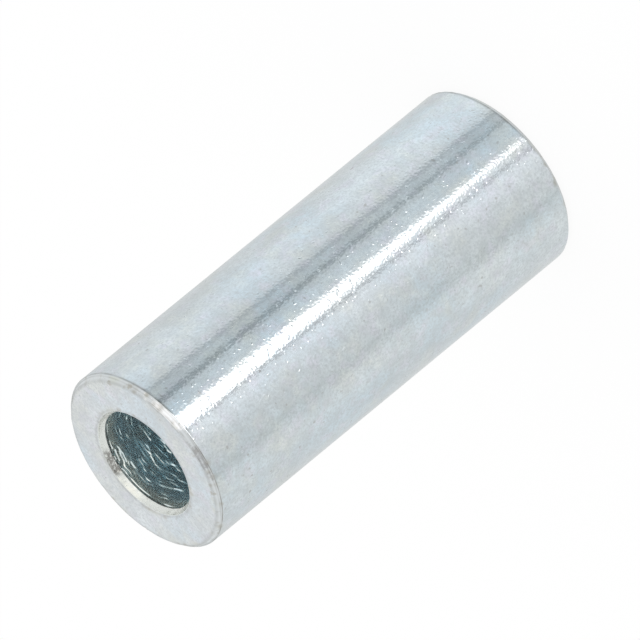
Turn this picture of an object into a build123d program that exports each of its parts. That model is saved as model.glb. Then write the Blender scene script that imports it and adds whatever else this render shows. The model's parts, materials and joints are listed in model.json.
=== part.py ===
from build123d import *
from math import radians, tan
import os

# Spacer sleeve: a short plain tube, turned from steel bar, drilled through and parted off.
# It stands on one end. The origin is the middle of the lower end face, and +Z is the bore's axis.
# All sizes are in millimetres and degrees.

outer_diameter = 8.0
sleeve_length = 20.0
bore_diameter = 4.5       # medium clearance for an M4 screw
rim_chamfer_width = 0.2   # how far each outer rim is cut back across the end face
rim_chamfer_height = 0.2  # how far that cut runs along the side
mouth_depth = 0.26        # how deep each countersunk mouth reaches into the bore
mouth_angle = 60.0        # included angle of each mouth's cone

# Radii that follow from the sizes above
outer_radius = outer_diameter / 2
bore_radius = bore_diameter / 2
mouth_radius = bore_radius + mouth_depth * tan(radians(mouth_angle / 2))


def end_outline(level, inward):
    """Outline of one end in the XZ plane, from the side to the bore: rim chamfer, face, mouth.

    level is the height of the end face, and inward is +1 or -1, the way along Z into the wall.
    """
    return Polyline(
        (outer_radius, 0, level + inward * rim_chamfer_height),
        (outer_radius - rim_chamfer_width, 0, level),
        (mouth_radius, 0, level),
        (bore_radius, 0, level + inward * mouth_depth),
    )


def wall_section():
    """Half-section of the tube's wall: both ends, joined by the side and the bore's wall."""
    lower_end = end_outline(0, 1)
    upper_end = end_outline(sleeve_length, -1)
    side = Line(lower_end @ 0, upper_end @ 0)
    bore_wall = Line(lower_end @ 1, upper_end @ 1)
    return make_face(lower_end + bore_wall + upper_end + side)


def spacer_sleeve():
    """The whole sleeve: the wall's half-section turned once round the bore's axis."""
    sleeve = revolve(wall_section(), axis=Axis.Z)
    sleeve.label = "spacer_sleeve"
    return sleeve


os.makedirs("parts", exist_ok=True)
export_step(spacer_sleeve(), "parts/spacer_sleeve.step")
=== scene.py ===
import json
import math

import bpy
import numpy as np
from mathutils import Matrix


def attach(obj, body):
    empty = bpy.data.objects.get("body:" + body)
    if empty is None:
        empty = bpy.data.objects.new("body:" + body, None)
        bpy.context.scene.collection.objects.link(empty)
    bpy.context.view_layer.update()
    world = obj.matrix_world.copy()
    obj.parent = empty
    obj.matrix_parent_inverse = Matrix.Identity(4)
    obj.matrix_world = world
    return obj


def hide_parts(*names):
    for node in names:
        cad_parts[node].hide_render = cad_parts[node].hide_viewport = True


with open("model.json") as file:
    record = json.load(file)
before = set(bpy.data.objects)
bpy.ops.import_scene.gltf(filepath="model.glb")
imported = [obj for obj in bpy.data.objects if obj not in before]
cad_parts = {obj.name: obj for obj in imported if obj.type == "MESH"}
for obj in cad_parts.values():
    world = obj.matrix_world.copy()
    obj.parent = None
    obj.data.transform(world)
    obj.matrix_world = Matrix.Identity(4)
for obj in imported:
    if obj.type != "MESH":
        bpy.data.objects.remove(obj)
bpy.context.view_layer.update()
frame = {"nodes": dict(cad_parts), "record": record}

# A zinc-plated spacer sleeve that stands on one end in a light tent.
# Metres throughout. Angles round the sleeve are 0 on the camera's side (-Y) and grow towards -X.

mm = 0.001
anyLength = (1, 2)       # for waves that are read at height 0, where their length plays no part


def gridMesh(name, points, wrapRows=False, flip=False):
    # a grid of points, rows by columns by xyz, whose columns close on themselves, becomes quads
    rows, columns = points.shape[:2]
    number = np.arange(rows * columns).reshape(rows, columns)
    nextRow = np.roll(number, -1, axis=0)
    nextColumn = np.roll(number, -1, axis=1)
    quads = np.stack([number, nextColumn, np.roll(nextRow, -1, axis=1), nextRow], axis=-1)
    if not wrapRows:
        quads = quads[:-1]
    quads = quads.reshape(-1, 4)
    if flip:
        quads = quads[:, ::-1]
    mesh = bpy.data.meshes.new(name)
    mesh.vertices.add(rows * columns)
    mesh.vertices.foreach_set("co", points.astype(np.float32).ravel())
    mesh.loops.add(quads.size)
    mesh.loops.foreach_set("vertex_index", quads.astype(np.int32).ravel())
    mesh.polygons.add(len(quads))
    mesh.polygons.foreach_set("loop_start", np.arange(0, quads.size, 4, dtype=np.int32))
    mesh.polygons.foreach_set("use_smooth", np.ones(len(quads), dtype=bool))
    mesh.update()
    mesh.validate()
    return mesh


def addShare(mesh, name, values):
    # one number for each vertex, which a material reads by its name
    layer = mesh.attributes.new(name, "FLOAT", "POINT")
    layer.data.foreach_set("value", np.ascontiguousarray(values, dtype=np.float32).ravel())


def place(name, mesh, material):
    # an object at the origin, whose mesh holds its place
    thing = bpy.data.objects.new(name, mesh)
    bpy.context.scene.collection.objects.link(thing)
    mesh.materials.append(material)
    return thing


def waves(rng, angle, height, turns, lengths, count):
    # smooth random field: a sum of cosines, whole turns round the sleeve, random lengths along it
    field = 0
    for _ in range(count):
        around = rng.integers(turns[0], turns[1] + 1)
        along = 2 * math.pi / rng.uniform(*lengths) * rng.choice([-1, 1])
        field = field + np.cos(around * angle + along * height + rng.uniform(0, 2 * math.pi))
    return field / math.sqrt(count / 2)


def smoothStep(value, low, high):
    # 0 below low, 1 above high, an S-curve between
    share = np.clip((value - low) / (high - low), 0, 1)
    return share * share * (3 - 2 * share)


def degreesFrom(angle, middle):
    # how far round each angle, in radians, lies from a middle in degrees: -180 to 180
    return np.mod(np.degrees(angle) - middle + 180, 360) - 180


sleeveShape = {
    "columns": 346,               # faces round the axis
    "lipRounding": 0.06 * mm,     # radii where two turned surfaces meet: mouth and face,
    "innerRounding": 0.08 * mm,   # face and rim,
    "outerRounding": 0.08 * mm,   # rim and side,
    "boreRounding": 0.05 * mm,    # bore and mouth
    "edgeRows": 3,                # rows over each rounded edge
    "closeRows": (0.02 * mm, 0.06 * mm, 0.11 * mm, 0.18 * mm),  # rows this far from each edge,
    "closeLimit": 0.2,            # while that is less than this share of the surface
    "sideRows": 10,
    "faceRows": 9,
    "rimRows": 14,
    "mouthRows": 8,
    "marksTop": 2.8 * mm,         # finely divided stretch of the bore under the upper mouth
    "marksTopRows": 128,
    "marksFade": 0.5 * mm,        # the marks end over this length, and painted rings go on
    "marksLow": 1.2 * mm,         # finely divided stretch over the lower mouth
    "marksLowRows": 14,
    "boreRows": 10,               # the rest of the bore
    "seed": 11,
}

# The surfaces in their order round the outline. Their places in this list number the rows: a row
# on a rounded edge has a number between those of the two surfaces that meet there.
surfaces = ("upperFace", "upperRim", "side", "lowerRim", "lowerFace", "lowerMouth", "bore", "upperMouth")


def readSleeve():
    # radii and heights of the CAD tube, from its own vertices and its bore mount
    node = frame["nodes"]["spacer_sleeve"]
    count = len(node.data.vertices)
    points = np.empty(count * 3, np.float32)
    node.data.vertices.foreach_get("co", points)
    points = points.reshape(-1, 3)
    radius = np.hypot(points[:, 0], points[:, 1])
    length = float(points[:, 2].max())
    slack = 0.001 * mm
    onTop = radius[points[:, 2] > length - slack]
    onSide = points[radius > radius.max() - slack, 2]
    bore = next(m for m in frame["record"]["mounts"] if m["name"] == "bore")
    return {
        "outer": float(radius.max()),
        "length": length,
        "faceOuter": float(onTop.max()),
        "mouth": float(onTop.min()),
        "rimDrop": length - float(onSide.max()),
        "bore": bore["dims"]["r_mm"] * mm,
        "mouthDepth": (length - bore["dims"]["length_mm"] * mm) / 2,
    }


def boreShares(length):
    # close rows at both ends of the bore, where it can be looked into, and wide ones between
    s = sleeveShape
    steps = np.concatenate([
        np.linspace(0, s["marksLow"], s["marksLowRows"], endpoint=False),
        np.linspace(s["marksLow"], length - s["marksTop"], s["boreRows"], endpoint=False),
        np.linspace(length - s["marksTop"], length, s["marksTopRows"]),
    ])
    return steps / length


def sleeveOutline(size):
    # closed outline in radius and height: straight runs with close rows at their ends, and an arc at
    # each corner. Returns the rows, their outward normals and the number of the surface they lie on.
    s = sleeveShape
    low, high = size["mouthDepth"], size["length"] - size["mouthDepth"]
    corners = np.array([     # where each surface begins
        (size["mouth"], size["length"]),
        (size["faceOuter"], size["length"]),
        (size["outer"], size["length"] - size["rimDrop"]),
        (size["outer"], size["rimDrop"]),
        (size["faceOuter"], 0),
        (size["mouth"], 0),
        (size["bore"], low),
        (size["bore"], high),
    ])
    evenRows = {name: np.linspace(0, 1, s[name + "Rows"]) for name in ("face", "rim", "side", "mouth")}
    face, rim, side, mouth = evenRows.values()
    shares = [face, rim, side, rim, face, mouth, boreShares(high - low), mouth]
    ahead = np.roll(corners, -1, axis=0) - corners
    ahead /= np.linalg.norm(ahead, axis=1, keepdims=True)
    normals = np.stack([-ahead[:, 1], ahead[:, 0]], axis=1)
    turn = np.arccos(np.clip((ahead * np.roll(ahead, 1, axis=0)).sum(1), -1, 1))
    edges = ("lip", "inner", "outer", "outer", "inner", "lip", "bore", "bore")
    rounding = [s[name + "Rounding"] for name in edges]
    reach = rounding * np.tan(turn / 2)
    arc = np.arange(1, s["edgeRows"] + 1)[:, None] / (s["edgeRows"] + 1)
    path, facing, surface = [], [], []
    for k in range(len(surfaces)):
        following = (k + 1) % len(surfaces)
        first = corners[k] + ahead[k] * reach[k]
        last = corners[following] - ahead[k] * reach[following]
        close = np.array(s["closeRows"]) / np.linalg.norm(last - first)
        close = close[close < s["closeLimit"]]
        steps = np.unique(np.concatenate([shares[k], close, 1 - close]))
        path.append(first + (last - first) * steps[:, None])
        facing.append(np.repeat(normals[k][None], len(steps), 0))
        surface.append(np.full(len(steps), float(k)))
        blend = np.sin((1 - arc) * turn[following]) * normals[k]
        blend = (blend + np.sin(arc * turn[following]) * normals[following]) / np.sin(turn[following])
        centre = last - normals[k] * rounding[following]
        path.append(centre + blend * rounding[following])
        facing.append(blend)
        surface.append(k + arc[:, 0])
    return np.concatenate(path), np.concatenate(facing), np.concatenate(surface)


def onSurface(surface, name, edge=1.0):
    # 1 on the rows of one surface, down to 0 over the given share of the arcs beside it
    away = np.abs(surface - surfaces.index(name))
    away = np.minimum(away, len(surfaces) - away)
    return 1 - smoothStep(away, 0, edge)


# In this and the next dictionaries, a name that ends in Waves holds how many turns round the sleeve,
# how long along it and how many of them. One that ends in Levels holds between which levels of its
# waves the marks come in.
drillMarks = {
    "spacing": 0.17 * mm,         # one step for each turn of the drill
    "depth": 0.027 * mm,          # how far a step cuts into the wall
    "riser": 0.25,                # share of the spacing taken by the steep part
    "sway": 0.28,                 # slow wander of the steps, in spacings
    "swayWaves": ((1, 6), (1.5 * mm, 6 * mm), 12),
    "jitter": 0.18,               # quick wander
    "jitterWaves": ((8, 26), (0.5 * mm, 2.0 * mm), 30),
    "patchWaves": ((3, 15), (0.24 * mm, 0.9 * mm), 40),  # stretches of steps, and blank ones between
    "patchLevels": (-0.2, 1.2),
    "faintest": 0.14,             # what is left of a step in a blank stretch
    "tearSpacing": 0.75 * mm,     # long, deeper tears between the steps
    "tearDepth": 0.036 * mm,
    "tearRiser": 0.085,
    "tearSway": 0.34,
    "tearSwayWaves": ((1, 5), (1.5 * mm, 5 * mm), 10),
    "tearJitter": 0.07,
    "tearJitterWaves": ((6, 16), (0.5 * mm, 2 * mm), 24),
    "tearStairs": 4,              # a tear runs level, then jumps by one part in so many of its spacing
    "tearSlope": (0.36, 0.64),    # between these shares of the way to the next stair
    "tearWaves": ((3, 9), (0.5 * mm, 2 * mm), 20),
    "tearLevels": (-0.5, 0.8),
    "clear": 0.10 * mm,           # smooth strip under the upper mouth,
    "clearLow": (0.1 * mm, 0.5 * mm),  # and over the lower one
    "lip": 0.15 * mm,             # height of one last step just under the mouth
    "lipDepth": 0.024 * mm,
    "lipRiser": 0.35,
    "lipWaves": ((2, 14), anyLength, 14),
    "lipLevels": (-1.3, 0.4),
    "burrStart": (-176, -170),    # the drill tore the mouth between these angles, in degrees,
    "burrEnd": (-152, -142),      # and each pair is where the tear comes in and dies out
    "burrDrop": (0.32 * mm, 0.55 * mm),  # how far down the bore it dies out
    "burrReach": 0.25 * mm,       # how far below the mouth its stain begins
    "burrStrength": 2.0,          # how much deeper the steps are in it
}


def markDepth(rng, angle, height, high):
    # steps along the bore on a one-start helix. The wall widens quickly over a riser, which then
    # faces up, and closes in slowly over the tread. The steps wander, fade out and start again.
    # Returns the depth, and where the metal is torn bright, which is on the risers.
    m = drillMarks
    helix = height / m["spacing"] + angle / (2 * math.pi)
    sway = m["sway"] * waves(rng, angle, height, *m["swayWaves"])
    jitter = m["jitter"] * waves(rng, angle, height, *m["jitterWaves"])
    fine, fineRiser = sawTooth(helix + sway + jitter, m["riser"])
    strength = smoothStep(waves(rng, angle, height, *m["patchWaves"]), *m["patchLevels"])
    helix = height / m["tearSpacing"] + angle / (2 * math.pi)
    sway = m["tearSway"] * waves(rng, angle, height, *m["tearSwayWaves"])
    jitter = m["tearJitter"] * waves(rng, angle, height, *m["tearJitterWaves"])
    helix = helix + stairs(sway * m["tearStairs"]) / m["tearStairs"]
    tear, tearRiser = sawTooth(helix + jitter, m["tearRiser"])
    torn = smoothStep(waves(rng, angle, height, *m["tearWaves"]), *m["tearLevels"])
    below = high - height
    rough = burrShare(angle) * (1 - smoothStep(below, *m["burrDrop"]))
    strength = np.maximum(m["faintest"] + (1 - m["faintest"]) * strength, m["burrStrength"] * rough)
    lip, lipRiser = sawTooth(-below / m["lip"], m["lipRiser"])
    onLip = smoothStep(waves(rng, angle, 0 * height, *m["lipWaves"]), *m["lipLevels"])
    onLip = onLip * (below < m["lip"]) * (below > 0)
    marks = m["depth"] * fine * strength + m["tearDepth"] * tear * torn
    bright = np.maximum(fineRiser * np.minimum(strength, 1), tearRiser * torn)
    clear = np.maximum(smoothStep(below, m["clear"] / 2, m["clear"]), rough)
    clear = clear * smoothStep(height, *m["clearLow"])
    return marks * clear + m["lipDepth"] * lip * onLip, np.maximum(bright * clear, lipRiser * onLip)


def burrShare(angle):
    # 1 in the stretch round the mouth that the drill tore
    turned = np.degrees(angle)
    return smoothStep(turned, *drillMarks["burrStart"]) * (1 - smoothStep(turned, *drillMarks["burrEnd"]))


def stairs(value):
    # whole numbers, joined by short slopes halfway between them
    whole = np.floor(value)
    return whole + smoothStep(value - whole, *drillMarks["tearSlope"])


def sawTooth(turns, riser):
    # 0 to 1 over the riser's share of each turn, then straight back to 0; and a bell on the riser
    part = np.mod(turns, 1)
    depth = np.where(part < riser, smoothStep(part, 0, riser), (1 - part) / (1 - riser))
    return depth, np.where(part < riser, np.sin(math.pi * part / riser), 0)


rimWear = {
    "ridges": 2.0,                # fine turning ridges across each chamfer
    "ridgeHeight": 0.0022 * mm,
    "ridgeDrift": 0.12,           # how far they wander across it, in ridges
    "driftWaves": ((1, 7), anyLength, 8),
    "unevenness": 0.0035 * mm,
    "unevenWaves": ((5, 60), (0.5 * mm, 2 * mm), 30),
    "inset": 0.010 * mm,          # how much further in the chamfer lies, so that nothing stands out
    "nicks": 70,                  # small dents on both rims
    "nickSize": (0.07 * mm, 0.20 * mm),
    "nickDepth": (0.006 * mm, 0.020 * mm),
    "dentShadeDepth": 0.012 * mm,       # a dent this deep gets the full painted shade, as dark as a smudge
}


def rimRelief(rng, size, angle, radius, height):
    # turned ridges, a cosine of the way across the chamfer, and a slight unevenness, less the inset
    w = rimWear
    across = (size["outer"] - radius) / (size["outer"] - size["faceOuter"])
    drift = w["ridgeDrift"] * waves(rng, angle, 0 * height, *w["driftWaves"])
    ridges = w["ridgeHeight"] * np.cos(2 * math.pi * (w["ridges"] * across + drift))
    return ridges + w["unevenness"] * waves(rng, angle, height, *w["unevenWaves"]) - w["inset"]


def rimNicks(rng, size, angle, radius, height):
    # round dents, each a Gaussian of the distance to its middle, scattered on both outer rims
    w = rimWear
    dents = 0
    for _ in range(w["nicks"]):
        middle = rng.uniform(-math.pi, math.pi)
        across = rng.uniform(0, 1)
        drop = (1 - across) * size["rimDrop"]
        level = rng.choice([drop, size["length"] - drop])
        reach = rng.uniform(*w["nickSize"])
        depth = rng.uniform(*w["nickDepth"])
        away = (np.mod(angle - middle + math.pi, 2 * math.pi) - math.pi) * size["outer"]
        inward = radius - (size["outer"] + across * (size["faceOuter"] - size["outer"]))
        square = away ** 2 + inward ** 2 + (height - level) ** 2
        dents = np.maximum(dents, depth * np.exp(-square / reach ** 2 * 2))
    return dents


# Dark lines that run along the edges, on both ends: partly dirt, partly painted shade and painted dark
# reflections along the corners of the rims and mouths. For each: how far it lies from its corner, going
# over the chamfer or down the mouth, its half width, how far it wanders and how dark it is. Some keep to
# one stretch, given by its middle and half its width in degrees. The others go all the way round.
plainLine = {"middle": 0, "half": 200, "soft": 8}
dirtAndShadeLines = [
    {"corner": "rim", "at": 0.010 * mm, "width": 0.080 * mm, "wander": 0.010 * mm, "dark": 0.36},
    {"corner": "rim", "at": 0.050 * mm, "width": 0.045 * mm, "wander": 0.010 * mm, "dark": 0.52,
     "middle": -14, "half": 20},
    {"corner": "rim", "at": 0.325 * mm, "width": 0.035 * mm, "wander": 0.012 * mm, "dark": 0.40,
     "middle": -7, "half": 9},
    {"corner": "rim", "at": 0.190 * mm, "width": 0.035 * mm, "wander": 0.012 * mm, "dark": 0.38},
    {"corner": "rim", "at": 0.330 * mm, "width": 0.045 * mm, "wander": 0.015 * mm, "dark": 0.80,
     "middle": -112, "half": 116},
    {"corner": "rim", "at": 0.250 * mm, "width": 0.024 * mm, "wander": 0.010 * mm, "dark": 1.0,
     "middle": 50, "half": 46},
    {"corner": "lip", "at": -0.070 * mm, "width": 0.070 * mm, "wander": 0.010 * mm, "dark": 0.34},
    {"corner": "lip", "at": 0.345 * mm, "width": 0.045 * mm, "wander": 0.010 * mm, "dark": 1.0},
]
dirtAndShadeFading = {
    "palingWaves": ((4, 40), anyLength, 16),
    "palingLevels": (-1.0, 0.6),
    "palest": 0.6,                # what is left of a line where it pales
    "wanderWaves": ((1, 9), anyLength, 10),
}
# the upper and the lower corner of each kind, halfway between the numbers of two surfaces, and
# which way along the outline leads off the face
edgeCorners = {"rim": [(0.5, 1), (3.5, -1)], "lip": [(7.5, -1), (4.5, 1)]}


# the dark edge lines: partly dirt, partly painted shade and painted dark reflections at the corners
def dirtAndShadeShare(rng, path, surface, angle):
    # each line is a bell of the distance along the outline, which pales and comes back round the axis
    d = dirtAndShadeFading
    ahead = np.roll(path, -1, axis=0) - path
    steps = np.hypot(ahead[:, 0], ahead[:, 1])
    along = np.cumsum(steps) - steps
    shown = 0
    for line in dirtAndShadeLines:
        line = {**plainLine, **line}
        turned = np.abs(degreesFrom(angle, line["middle"]))
        kept = 1 - smoothStep(turned, line["half"] - line["soft"], line["half"] + line["soft"])
        paling = smoothStep(waves(rng, angle, 0, *d["palingWaves"]), *d["palingLevels"])
        kept = kept * (d["palest"] + (1 - d["palest"]) * paling)
        for corner, way in edgeCorners[line["corner"]]:
            away = way * (along - np.interp(corner, surface, along))[:, None]
            away = np.mod(away + steps.sum() / 2, steps.sum()) - steps.sum() / 2
            away = away - line["at"] - line["wander"] * waves(rng, angle, 0, *d["wanderWaves"])
            shown = np.maximum(shown, line["dark"] * kept * np.exp(-(away / line["width"]) ** 2))
    return shown


plateWear = {
    "sideWave": 0.0016 * mm,      # slow unevenness of the turned side,
    "sideWaves": ((2, 7), (4 * mm, 14 * mm), 12),
    "sideInset": 2.5,             # which lies so many times its height further in
    "mouthWear": 0.003 * mm,      # roughness of the mouths,
    "mouthTear": 0.010 * mm,      # and how much more there is where the drill tore one
    "mouthWaves": ((8, 50), (0.2 * mm, 1 * mm), 30),
    "mouthHollow": 0.012 * mm,    # how far the cone of a mouth is hollowed
    "film": 0.46,                 # share of pale film over the metal of the mouths; it grows or
    "filmPatches": [(-72, 30, 0.54), (99, 13, 0.30), (168, 16, -0.34)],  # shrinks at some angles
    "endReach": (0.15 * mm, 0.75 * mm),  # thicker, paler plate in the ends of the bore
    "edgeReach": 0.35 * mm,       # how far over the face the film and smudges of an edge reach
}


def mouthRelief(rng, size, angle, height, burr):
    # fine waves, higher where the drill tore the mouth, less a hollow that is a parabola of the depth
    p = plateWear
    wear = (p["mouthWear"] + p["mouthTear"] * burr) * waves(rng, angle, height, *p["mouthWaves"])
    down = np.clip((size["length"] - height) / size["mouthDepth"], 0, 1)
    return wear - p["mouthHollow"] * 4 * down * (1 - down)


def mouthFilm(angle):
    # the even film and its patches, each a bell of the angle: middle, half width, strength
    film = plateWear["film"]
    for middle, half, strength in plateWear["filmPatches"]:
        film = film + strength * np.exp(-(degreesFrom(angle, middle) / half) ** 2)
    return film


def sleeveSurface(size):
    # the outline turned round the axis, then pushed along its normal by what the tools left behind.
    # Returns the points, and the shares that the zinc plate reads at each of them.
    s, p = sleeveShape, plateWear
    rng = np.random.default_rng(s["seed"])
    path, facing, rows = sleeveOutline(size)
    angle = np.linspace(-math.pi, math.pi, s["columns"], endpoint=False)[None, :]
    radius, height, surface = path[:, :1], path[:, 1:], rows[:, None]
    onRim = np.maximum(onSurface(surface, "upperRim"), onSurface(surface, "lowerRim"))
    onMouth = np.maximum(onSurface(surface, "lowerMouth"), onSurface(surface, "upperMouth"))
    onSide = onSurface(surface, "side", 0.5)
    onBore = onSurface(surface, "bore", 0.5)
    onFace = np.maximum(onSurface(surface, "upperFace", 0.5), onSurface(surface, "lowerFace", 0.5))

    high = size["length"] - size["mouthDepth"]
    deep = smoothStep(high - height, s["marksTop"] - s["marksFade"], s["marksTop"])
    deep = deep * smoothStep(height, s["marksLow"] / 2, s["marksLow"])
    marks, torn = markDepth(rng, angle, height, high)
    marks, torn = marks * onBore * (1 - deep), torn * onBore * (1 - deep)
    burr = burrShare(angle) * smoothStep(height, high - drillMarks["burrReach"], high)
    burr = burr * onSurface(surface, "upperMouth")

    rim = rimRelief(rng, size, angle, radius, height)
    nicks = rimNicks(rng, size, angle, radius, height)
    side = p["sideWave"] * (waves(rng, angle, height, *p["sideWaves"]) - p["sideInset"])
    mouth = mouthRelief(rng, size, angle, height, burr)
    offset = rim * onRim + side * onSide + mouth * onMouth - marks - nicks
    r = radius + facing[:, :1] * offset
    z = height + facing[:, 1:] * offset
    points = np.stack([-r * np.sin(angle), -r * np.cos(angle), z], axis=-1)

    inward = size["length"] / 2 - size["mouthDepth"] - np.abs(height - size["length"] / 2)
    toLip = 1 - smoothStep(radius, size["mouth"], size["mouth"] + p["edgeReach"])
    toRim = smoothStep(radius, size["faceOuter"] - p["edgeReach"], size["faceOuter"])
    shares = {
        "bore": onBore,
        "deep": onBore * deep,
        "torn": torn,
        "burr": burr,
        "mouth": onMouth,
        "boreEnd": onBore * (1 - smoothStep(inward, *p["endReach"])),
        "film": onMouth * mouthFilm(angle),
        "rim": onRim,
        "nearEdge": np.maximum(np.maximum(toLip, toRim) * onFace, onRim),
        # dark edge lines: dirt, with painted shade and painted dark reflections along the corners
        "dirtAndEdgeShade": dirtAndShadeShare(rng, path, rows, angle),
        # painted shade in the dents, darker the deeper they are
        "dentShade": np.clip(nicks / rimWear["dentShadeDepth"], 0, 1),
    }
    return points, {name: values + 0 * radius + 0 * angle for name, values in shares.items()}


class Wire:
    # one output of a node; an expression on it adds Math nodes
    def __init__(self, tree, socket):
        self.tree, self.socket = tree, socket

    def __add__(self, other):
        return self.tree.maths("ADD", self, other)

    def __sub__(self, other):
        return self.tree.maths("SUBTRACT", self, other)

    def __rsub__(self, other):
        return self.tree.maths("SUBTRACT", other, self)

    def __mul__(self, other):
        return self.tree.maths("MULTIPLY", self, other)

    def __pow__(self, other):
        return self.tree.maths("POWER", self, other)

    def __abs__(self):
        return self.tree.maths("ABSOLUTE", self)

    __radd__, __rmul__ = __add__, __mul__


class NodeTree:
    # the nodes of one material or world, all made by add
    def __init__(self, owner):
        owner.use_nodes = True
        self.owner, self.nodes, self.links = owner, owner.node_tree.nodes, owner.node_tree.links
        self.nodes.clear()

    def add(self, kind, settings=None, sockets=None, output=0):
        # any node: its settings first, then the values or links of its sockets
        node = self.nodes.new(kind)
        for name, value in (settings or {}).items():
            setattr(node, name, value)
        for name, value in (sockets or {}).items():
            if isinstance(value, Wire):
                self.links.new(value.socket, node.inputs[name])
            else:
                node.inputs[name].default_value = value
        return Wire(self, node.outputs[output] if node.outputs else None)

    def maths(self, operation, *values):
        # a Math node on wires and numbers, in the order of its sockets
        return self.add("ShaderNodeMath", {"operation": operation}, dict(enumerate(values)))

    def ramp(self, value, low, high, start=0.0, end=1.0):
        # an S-curve from start to end as value goes from low to high
        sockets = {"Value": value, "From Min": low, "From Max": high, "To Min": start, "To Max": end}
        return self.add("ShaderNodeMapRange", {"interpolation_type": "SMOOTHSTEP"}, sockets)

    def mix(self, share, first, second):
        # two colours, each a wire or three numbers; share is how much of the second shows
        colours = [v if isinstance(v, Wire) else (*v, 1) for v in (first, second)]
        return self.add("ShaderNodeMix", {"data_type": "RGBA"}, {0: share, 6: colours[0], 7: colours[1]}, 2)

    def noise(self, where, size, detail=2.0, roughness=0.5):
        # cloudy noise about 0.5, whose largest features are as wide as size
        sockets = {"Vector": where, "Scale": 1 / size, "Detail": detail, "Roughness": roughness}
        return self.add("ShaderNodeTexNoise", {"noise_dimensions": "3D"}, sockets)

    def patches(self, where, size, detail, levels, shares=(0, 1), roughness=0.5):
        # noise cut into soft-edged patches: the first share below its levels, the second above them
        return self.ramp(self.noise(where, size, detail, roughness), *levels, *shares)

    def share(self, name):
        # a number kept at the vertices of the mesh
        return self.add("ShaderNodeAttribute", {"attribute_name": name}, {}, "Fac")


zincLook = {
    "steel": (0.795, 0.823, 0.837),   # bright zinc
    "blue": (0.708, 0.791, 0.848),    # passivation tints, very faint
    "straw": (0.815, 0.812, 0.757),
    "lilac": (0.805, 0.777, 0.850),
    "dull": (0.58, 0.60, 0.61),       # fine sandy grain and clouds
    "pit": (0.50, 0.49, 0.48),
    "olive": (0.70, 0.71, 0.65),      # beside the rims and the lips
    "smudge": (0.52, 0.50, 0.46),
    # darker zinc on the chamfers: painted shade
    "rim": (0.72, 0.725, 0.73),
    "mouth": (0.815, 0.82, 0.765),
    "turnedShare": 0.8,               # how much of the colours of rim and mouth shows
    "bore": (0.575, 0.735, 0.79),     # thin, dull plate inside, darkened as painted shade of the bore,
    "boreEnd": (0.80, 0.82, 0.75),    # and at both ends of the bore
    "torn": (0.71, 0.765, 0.77),      # bare bright metal on the steps of the bore
    "stainAndShade": (0.31, 0.30, 0.28),      # in the dark edge lines, which are partly dirt and partly painted shade, and in the torn mouth
    "roughness": 0.125,
    "mouthRoughness": 0.30,
    "boreRoughness": 0.38,
    "tornRoughness": 0.24,
    "boreMetal": 0.78,
    "hairSize": 1.1 * mm,             # hairlines, where a noise passes through its middle
    "hairWidth": (0.002, 0.007),
    "hairShare": 0.35,
    "grainSize": 0.105 * mm,          # crystals that glint beside the highlight
    "grainHeight": 0.0038 * mm,
    "blisterSize": 0.14 * mm,         # sparse and steeper
    "blisterHeight": 0.0084 * mm,
    "blisterLevels": (0.70, 0.90),
    "ringSize": 0.30 * mm,            # turned rings down in the bore,
    "ringHeight": 0.012 * mm,
    "ringStretch": (0.2, 0.2, 1.0),   # drawn out across the axis
}

# What each kind of patch is cut from: the size of its noise, how finely that is broken up, the
# levels at the edges of the patches, and how much shows outside them and in them.
zincPatches = {
    "blue": {"size": 4.0 * mm, "detail": 3, "levels": (0.42, 0.62)},
    "straw": {"size": 1.3 * mm, "detail": 4, "levels": (0.46, 0.68), "shares": (0, 0.8)},
    "lilac": {"size": 0.6 * mm, "detail": 4, "levels": (0.48, 0.70), "shares": (0, 0.8)},
    "cloud": {"size": 0.55 * mm, "detail": 4, "levels": (0.30, 0.70), "shares": (0, 0.46),
              "roughness": 0.6},
    "tide": {"size": 2.6 * mm, "detail": 2, "levels": (0.30, 0.70), "shares": (0, 0.20)},
    "sand": {"size": 0.11 * mm, "detail": 2, "levels": (0.35, 0.75), "shares": (0, 0.85),
             "roughness": 0.7},
    "pits": {"size": 0.17 * mm, "detail": 2.5, "levels": (0.63, 0.74), "roughness": 0.6},
    "pitCrowd": {"size": 1.7 * mm, "detail": 2, "levels": (0.40, 0.66), "shares": (0.25, 0.75)},
    "hairStretch": {"size": 0.6 * mm, "detail": 1, "levels": (0.60, 0.68)},
    "speck": {"size": 0.20 * mm, "detail": 0, "levels": (0.79, 0.86), "shares": (0, 0.8)},
    "olive": {"size": 1.2 * mm, "detail": 3, "levels": (0.53, 0.66), "shares": (0, 0.8)},
    "smudge": {"size": 0.45 * mm, "detail": 3, "levels": (0.60, 0.72)},
    "borePale": {"size": 0.6 * mm, "detail": 2, "levels": (0.40, 0.66), "shares": (0, 0.40)},
    "burr": {"size": 0.12 * mm, "detail": 2, "levels": (0.30, 0.54)},
}


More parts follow.
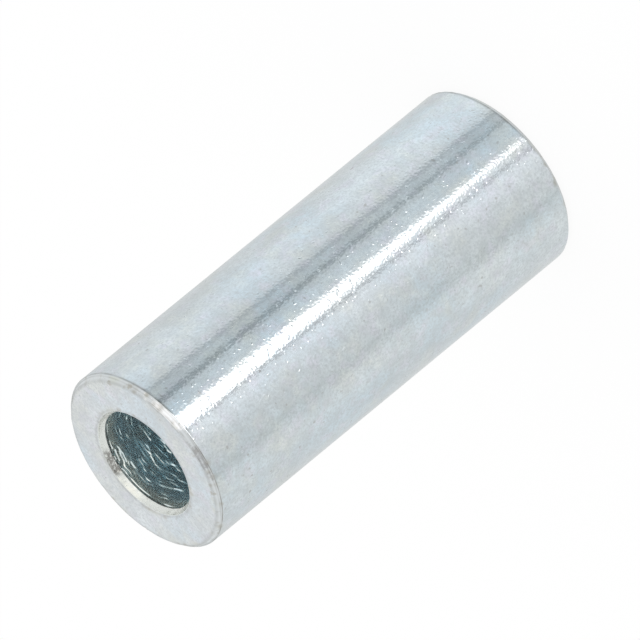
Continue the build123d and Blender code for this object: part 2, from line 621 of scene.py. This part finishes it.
def zincPlate():
    # bright zinc under layers of patches, each mixed over those before it; the shares of the mesh
    # say where a layer shows, and the sum of grain, blisters and rings is a bump
    look = zincLook
    tree = NodeTree(bpy.data.materials.new("zincPlate"))
    where = tree.add("ShaderNodeTexCoord", {}, {}, "Object")
    spots = {name: tree.patches(where, **patch) for name, patch in zincPatches.items()}
    bore, torn, mouth, nearEdge = (tree.share(name) for name in ("bore", "torn", "mouth", "nearEdge"))

    colour = tree.mix(spots["blue"], look["steel"], look["blue"])
    colour = tree.mix(spots["straw"], colour, look["straw"])
    colour = tree.mix(spots["lilac"], colour, look["lilac"])
    colour = tree.mix(spots["cloud"] + spots["tide"], colour, look["dull"])
    colour = tree.mix(spots["sand"], colour, look["dull"])
    # the chamfers darker than the rest of the zinc: painted shade on them
    colour = tree.mix(tree.share("rim") * look["turnedShare"], colour, look["rim"])
    colour = tree.mix(mouth * look["turnedShare"], colour, look["mouth"])
    colour = tree.mix(spots["pits"] * spots["pitCrowd"], colour, look["pit"])
    hair = tree.ramp(abs(tree.noise(where, look["hairSize"], 3) - 0.5), *look["hairWidth"], 1, 0)
    colour = tree.mix(hair * spots["hairStretch"] * look["hairShare"], colour, look["pit"])
    colour = tree.mix(spots["speck"], colour, look["pit"])
    colour = tree.mix(nearEdge * spots["olive"], colour, look["olive"])
    # smudges beside the edges, and painted shade in the dents in the smudge colour
    smudge = tree.maths("MAXIMUM", nearEdge * spots["smudge"], tree.share("dentShade"))
    colour = tree.mix(smudge, colour, look["smudge"])
    # inside the bore: dull plate darkened as painted shade, paler at its ends, bare metal on the steps
    inside = tree.mix(spots["borePale"] + tree.share("boreEnd"), look["bore"], look["boreEnd"])
    inside = tree.mix(torn, inside, look["torn"])
    colour = tree.mix(bore, colour, inside)
    # the torn mouth's stain, and the dark edge lines: dirt with painted shade and painted dark reflections
    stainAndShade = tree.maths("MAXIMUM", tree.share("dirtAndEdgeShade"), tree.share("burr") * spots["burr"])
    colour = tree.mix(stainAndShade, colour, look["stainAndShade"])

    grain = tree.noise(where, look["grainSize"], 0.0)
    blister = tree.patches(where, look["blisterSize"], 0.0, look["blisterLevels"])
    relief = (grain * look["grainHeight"] + blister * look["blisterHeight"]) * (1 - bore)
    stretch = {0: where, 1: look["ringStretch"]}
    stretched = tree.add("ShaderNodeVectorMath", {"operation": "MULTIPLY"}, stretch)
    relief = relief + tree.noise(stretched, look["ringSize"], 3) * look["ringHeight"] * tree.share("deep")
    roughness = tree.ramp(mouth, 0, 0.5, look["roughness"], look["mouthRoughness"])
    roughness = roughness + bore * (look["boreRoughness"] - look["mouthRoughness"])
    roughness = roughness - torn * (look["boreRoughness"] - look["tornRoughness"])
    shader = tree.add("ShaderNodeBsdfPrincipled", {}, {
        "Base Color": colour,
        "Metallic": 1 - tree.share("film") - bore * (1 - torn) * (1 - look["boreMetal"]),
        "Roughness": roughness,
        "Normal": tree.add("ShaderNodeBump", {}, {"Strength": 1.0, "Distance": 1.0, "Height": relief}),
    })
    tree.add("ShaderNodeOutputMaterial", {}, {"Surface": shader})
    return tree.owner


stageLevels = {
    "tentRadius": 90 * mm,
    "tentRows": 64,
    "tentColumns": 128,
    "tentStrength": 1.0,
    "wall": (0.80, 0.84, 0.85),       # pale cloth, which the metal mirrors
    "sideMirrors": -29,               # how high on the wall, in degrees, the side mirrors
    "floorRadius": 400 * mm,
    "floorRows": 5,
    "floorColumns": 48,
    "floorDrop": 0.002 * mm,          # keeps the floor clear of the lower face
    "floorGlow": 0.9,                 # how much of the floor is seen as plain white, past its shadow
}

# What hangs on the tent's wall, painted in this order. In degrees: where round the tent and how
# wide it is at the height that the side mirrors, how soft its edges are, how far it leans and
# widens for each degree up, and from where to where it reaches up the wall.
plainHanging = {"lean": 0.0, "widen": 0.0, "bottom": -90, "top": 8, "fade": 12}
hangings = [
    {"name": "upperWall", "at": 0, "half": 400, "soft": 1, "bottom": 6, "top": 120,
     "light": (0.92, 0.96, 0.97)},
    {"name": "rearCloth", "at": 180, "half": 30, "soft": 60, "bottom": 10, "top": 60,
     "light": (0.93, 0.952, 0.962)},
    {"name": "frontLamp", "at": -25, "half": 23, "soft": 24, "bottom": 19, "top": 41, "fade": 8,
     "light": (1.34, 1.31, 1.24)},
    {"name": "rimLamp", "at": -33, "half": 27, "soft": 26, "bottom": 48, "top": 76,
     "light": (1.45, 1.45, 1.45)},
    {"name": "dimCorner", "at": 46, "half": 16, "soft": 26, "bottom": 42, "top": 68,
     "light": (0.58, 0.59, 0.60)},
    {"name": "lowBack", "at": 180, "half": 26, "soft": 60, "light": (0.73, 0.75, 0.75)},
    {"name": "backShade", "at": 180, "half": 14, "soft": 40, "bottom": -24, "top": 6,
     "light": (0.56, 0.58, 0.58)},
    {"name": "rightGlow", "at": 9, "half": 9, "soft": 40, "light": (1.06, 1.11, 1.15)},
    {"name": "rightCloth", "at": 86, "half": 12, "soft": 60, "light": (0.91, 0.95, 0.95)},
    {"name": "blueCloth", "at": -94, "half": 16, "soft": 56, "light": (0.95, 1.03, 1.08)},
    {"name": "farBlue", "at": -94, "half": 30, "soft": 50, "top": -32, "fade": 7,
     "light": (1.00, 1.08, 1.12)},
    {"name": "leftGlow", "at": -27, "half": 8, "soft": 18, "light": (0.75, 0.84, 0.89)},
    {"name": "valley", "at": -46, "half": 10, "soft": 22, "widen": 0.3, "light": (0.64, 0.71, 0.74)},
    {"name": "leftGap", "at": -56.3, "half": 2.0, "soft": 6, "lean": -0.38,
     "light": (0.46, 0.51, 0.54)},
    {"name": "centreGap", "at": -41.4, "half": 1.9, "soft": 5.5, "widen": 0.14,
     "light": (0.33, 0.38, 0.40)},
    {"name": "rightGap", "at": 60, "half": 4, "soft": 26, "light": (0.66, 0.71, 0.71)},
    {"name": "lampFrame", "at": 0.8, "half": 0.75, "soft": 1.6, "widen": 0.03,
     "light": (0.20, 0.21, 0.23)},
    {"name": "keyLamp", "at": -10.1, "half": 3.4, "soft": 4.6, "lean": 0.14, "widen": 0.58,
     "light": (2.6, 2.6, 2.6)},
]


def tentCloth(middleHeight):
    # glowing wall with each hanging mixed over it: a soft-edged window of the angle round the tent,
    # times one of the angle up, as seen from the sleeve's middle
    tree = NodeTree(bpy.data.materials.new("tentCloth"))
    where = tree.add("ShaderNodeTexCoord", {}, {}, "Object")
    x, y, z = (tree.add("ShaderNodeSeparateXYZ", {}, {"Vector": where}, axis) for axis in "XYZ")
    degree = 180 / math.pi
    around = tree.maths("ARCTAN2", x * -1, y * -1) * degree
    up = tree.maths("ARCTAN2", z - middleHeight, (x * x + y * y) ** 0.5) * degree
    over = up - stageLevels["sideMirrors"]
    colour = stageLevels["wall"]
    for h in hangings:
        h = {**plainHanging, **h}
        turned = tree.maths("WRAP", around - h["at"] - over * h["lean"], 180, -180)
        past = abs(turned) - h["half"] - over * h["widen"]
        shown = tree.ramp(past, -h["soft"] / 2, h["soft"] / 2, 1, 0)
        shown = shown * tree.ramp(up, h["bottom"] - h["fade"] / 2, h["bottom"] + h["fade"] / 2)
        shown = shown * tree.ramp(up, h["top"] - h["fade"] / 2, h["top"] + h["fade"] / 2, 1, 0)
        colour = tree.mix(shown, colour, h["light"])
    glow = tree.add("ShaderNodeEmission", {}, {"Color": colour, "Strength": stageLevels["tentStrength"]})
    tree.add("ShaderNodeOutputMaterial", {}, {"Surface": glow})
    tree.owner.cycles.emission_sampling = "NONE"
    return tree.owner


def lightTent(middleHeight):
    # a sphere round the middle of the sleeve, seen only in the metal
    s = stageLevels
    almostPole = math.pi / 2 - 0.001
    up = np.linspace(-almostPole, almostPole, s["tentRows"])[:, None]
    around = np.linspace(-math.pi, math.pi, s["tentColumns"], endpoint=False)[None, :]
    x = s["tentRadius"] * np.cos(up) * np.cos(around)
    y = s["tentRadius"] * np.cos(up) * np.sin(around)
    z = middleHeight + s["tentRadius"] * np.sin(up) + 0 * around
    mesh = gridMesh("lightTent", np.stack([x, y, z], axis=-1), flip=True)
    cloth = place("lightTent", mesh, tentCloth(middleHeight))
    cloth.visible_camera = False
    cloth.visible_diffuse = False
    cloth.visible_shadow = False
    return cloth


def paleFloor():
    # flat disc of white cloth that keeps the sleeve's shadow; it is clear from below, where the
    # lower end shows
    s = stageLevels
    tree = NodeTree(bpy.data.materials.new("paleFloor"))
    cloth = tree.add("ShaderNodeBsdfDiffuse", {}, {"Color": (1, 1, 1, 1)})
    white = tree.add("ShaderNodeEmission", {}, {"Color": (1, 1, 1, 1), "Strength": 1.0})
    clear = tree.add("ShaderNodeBsdfTransparent")
    seen = tree.add("ShaderNodeLightPath", {}, {}, "Is Camera Ray") * s["floorGlow"]
    below = tree.add("ShaderNodeNewGeometry", {}, {}, "Backfacing")
    surface = tree.add("ShaderNodeMixShader", {}, {0: seen, 1: cloth, 2: white})
    surface = tree.add("ShaderNodeMixShader", {}, {0: below, 1: surface, 2: clear})
    tree.add("ShaderNodeOutputMaterial", {}, {"Surface": surface})
    radius = np.linspace(0, s["floorRadius"], s["floorRows"])[:, None]
    around = np.linspace(-math.pi, math.pi, s["floorColumns"], endpoint=False)[None, :]
    level = -s["floorDrop"] + 0 * radius * around
    points = np.stack([radius * np.cos(around), radius * np.sin(around), level], axis=-1)
    floor = place("paleFloor", gridMesh("paleFloor", points, flip=True), tree.owner)
    floor.visible_glossy = False
    return floor


def whiteWorld():
    # even white light on the floor; the tent hides it from the metal
    world = bpy.data.worlds.new("whiteWorld")
    tree = NodeTree(world)
    sky = tree.add("ShaderNodeBackground", {}, {"Color": (1, 1, 1, 1), "Strength": 1.0})
    tree.add("ShaderNodeOutputWorld", {}, {"Surface": sky})
    world.cycles.sampling_method = "NONE"
    bpy.context.scene.world = world


view = {
    "elevation": 28.684,     # degrees above the horizon
    "roll": -129.351,        # the camera is turned about its own line of sight
    "distance": 753.45 * mm,
    "lens": 1100.8,          # focal length and sensor width in millimetres
    "sensor": 36,
    "clip": (0.01, 5),
    "aside": (-0.0327 * mm, 0.0298 * mm, 0.0544 * mm),  # where it looks, from the sleeve's middle
}


def placeCamera(middle):
    # level axes tilted down by the elevation and turned by the roll, then stepped back along the view
    tilt, roll = math.radians(view["elevation"]), math.radians(view["roll"])
    forward = np.array([0, math.cos(tilt), -math.sin(tilt)])
    levelRight = np.array([1, 0, 0])
    levelUp = np.array([0, math.sin(tilt), math.cos(tilt)])
    right = math.cos(roll) * levelRight + math.sin(roll) * levelUp
    up = math.cos(roll) * levelUp - math.sin(roll) * levelRight
    spot = np.array(middle) + np.array(view["aside"]) - forward * view["distance"]
    data = bpy.data.cameras.new("camera")
    data.lens, data.sensor_width = view["lens"], view["sensor"]
    data.clip_start, data.clip_end = view["clip"]
    camera = bpy.data.objects.new("camera", data)
    turned = np.eye(4)
    turned[:3, 0], turned[:3, 1], turned[:3, 2], turned[:3, 3] = right, up, -forward, spot
    camera.matrix_world = Matrix(turned.tolist())
    bpy.context.scene.collection.objects.link(camera)
    bpy.context.scene.camera = camera


size = readSleeve()
print("sleeve: sizes read", {name: round(value / mm, 3) for name, value in size.items()})
points, shares = sleeveSurface(size)
sleeveMesh = gridMesh("sleeve", points, wrapRows=True)
for name, values in shares.items():
    addShare(sleeveMesh, name, values)
sleeve = place("sleeve", sleeveMesh, zincPlate())
print("sleeve: surface made,", 2 * points.shape[0] * points.shape[1], "triangles")
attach(sleeve, "root")
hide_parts("spacer_sleeve")

middle = (0, 0, size["length"] / 2)
lightTent(middle[2])
paleFloor()
whiteWorld()
placeCamera(middle)
bpy.context.scene.view_settings.view_transform = "Standard"
print("sleeve: tent, floor and camera in place")
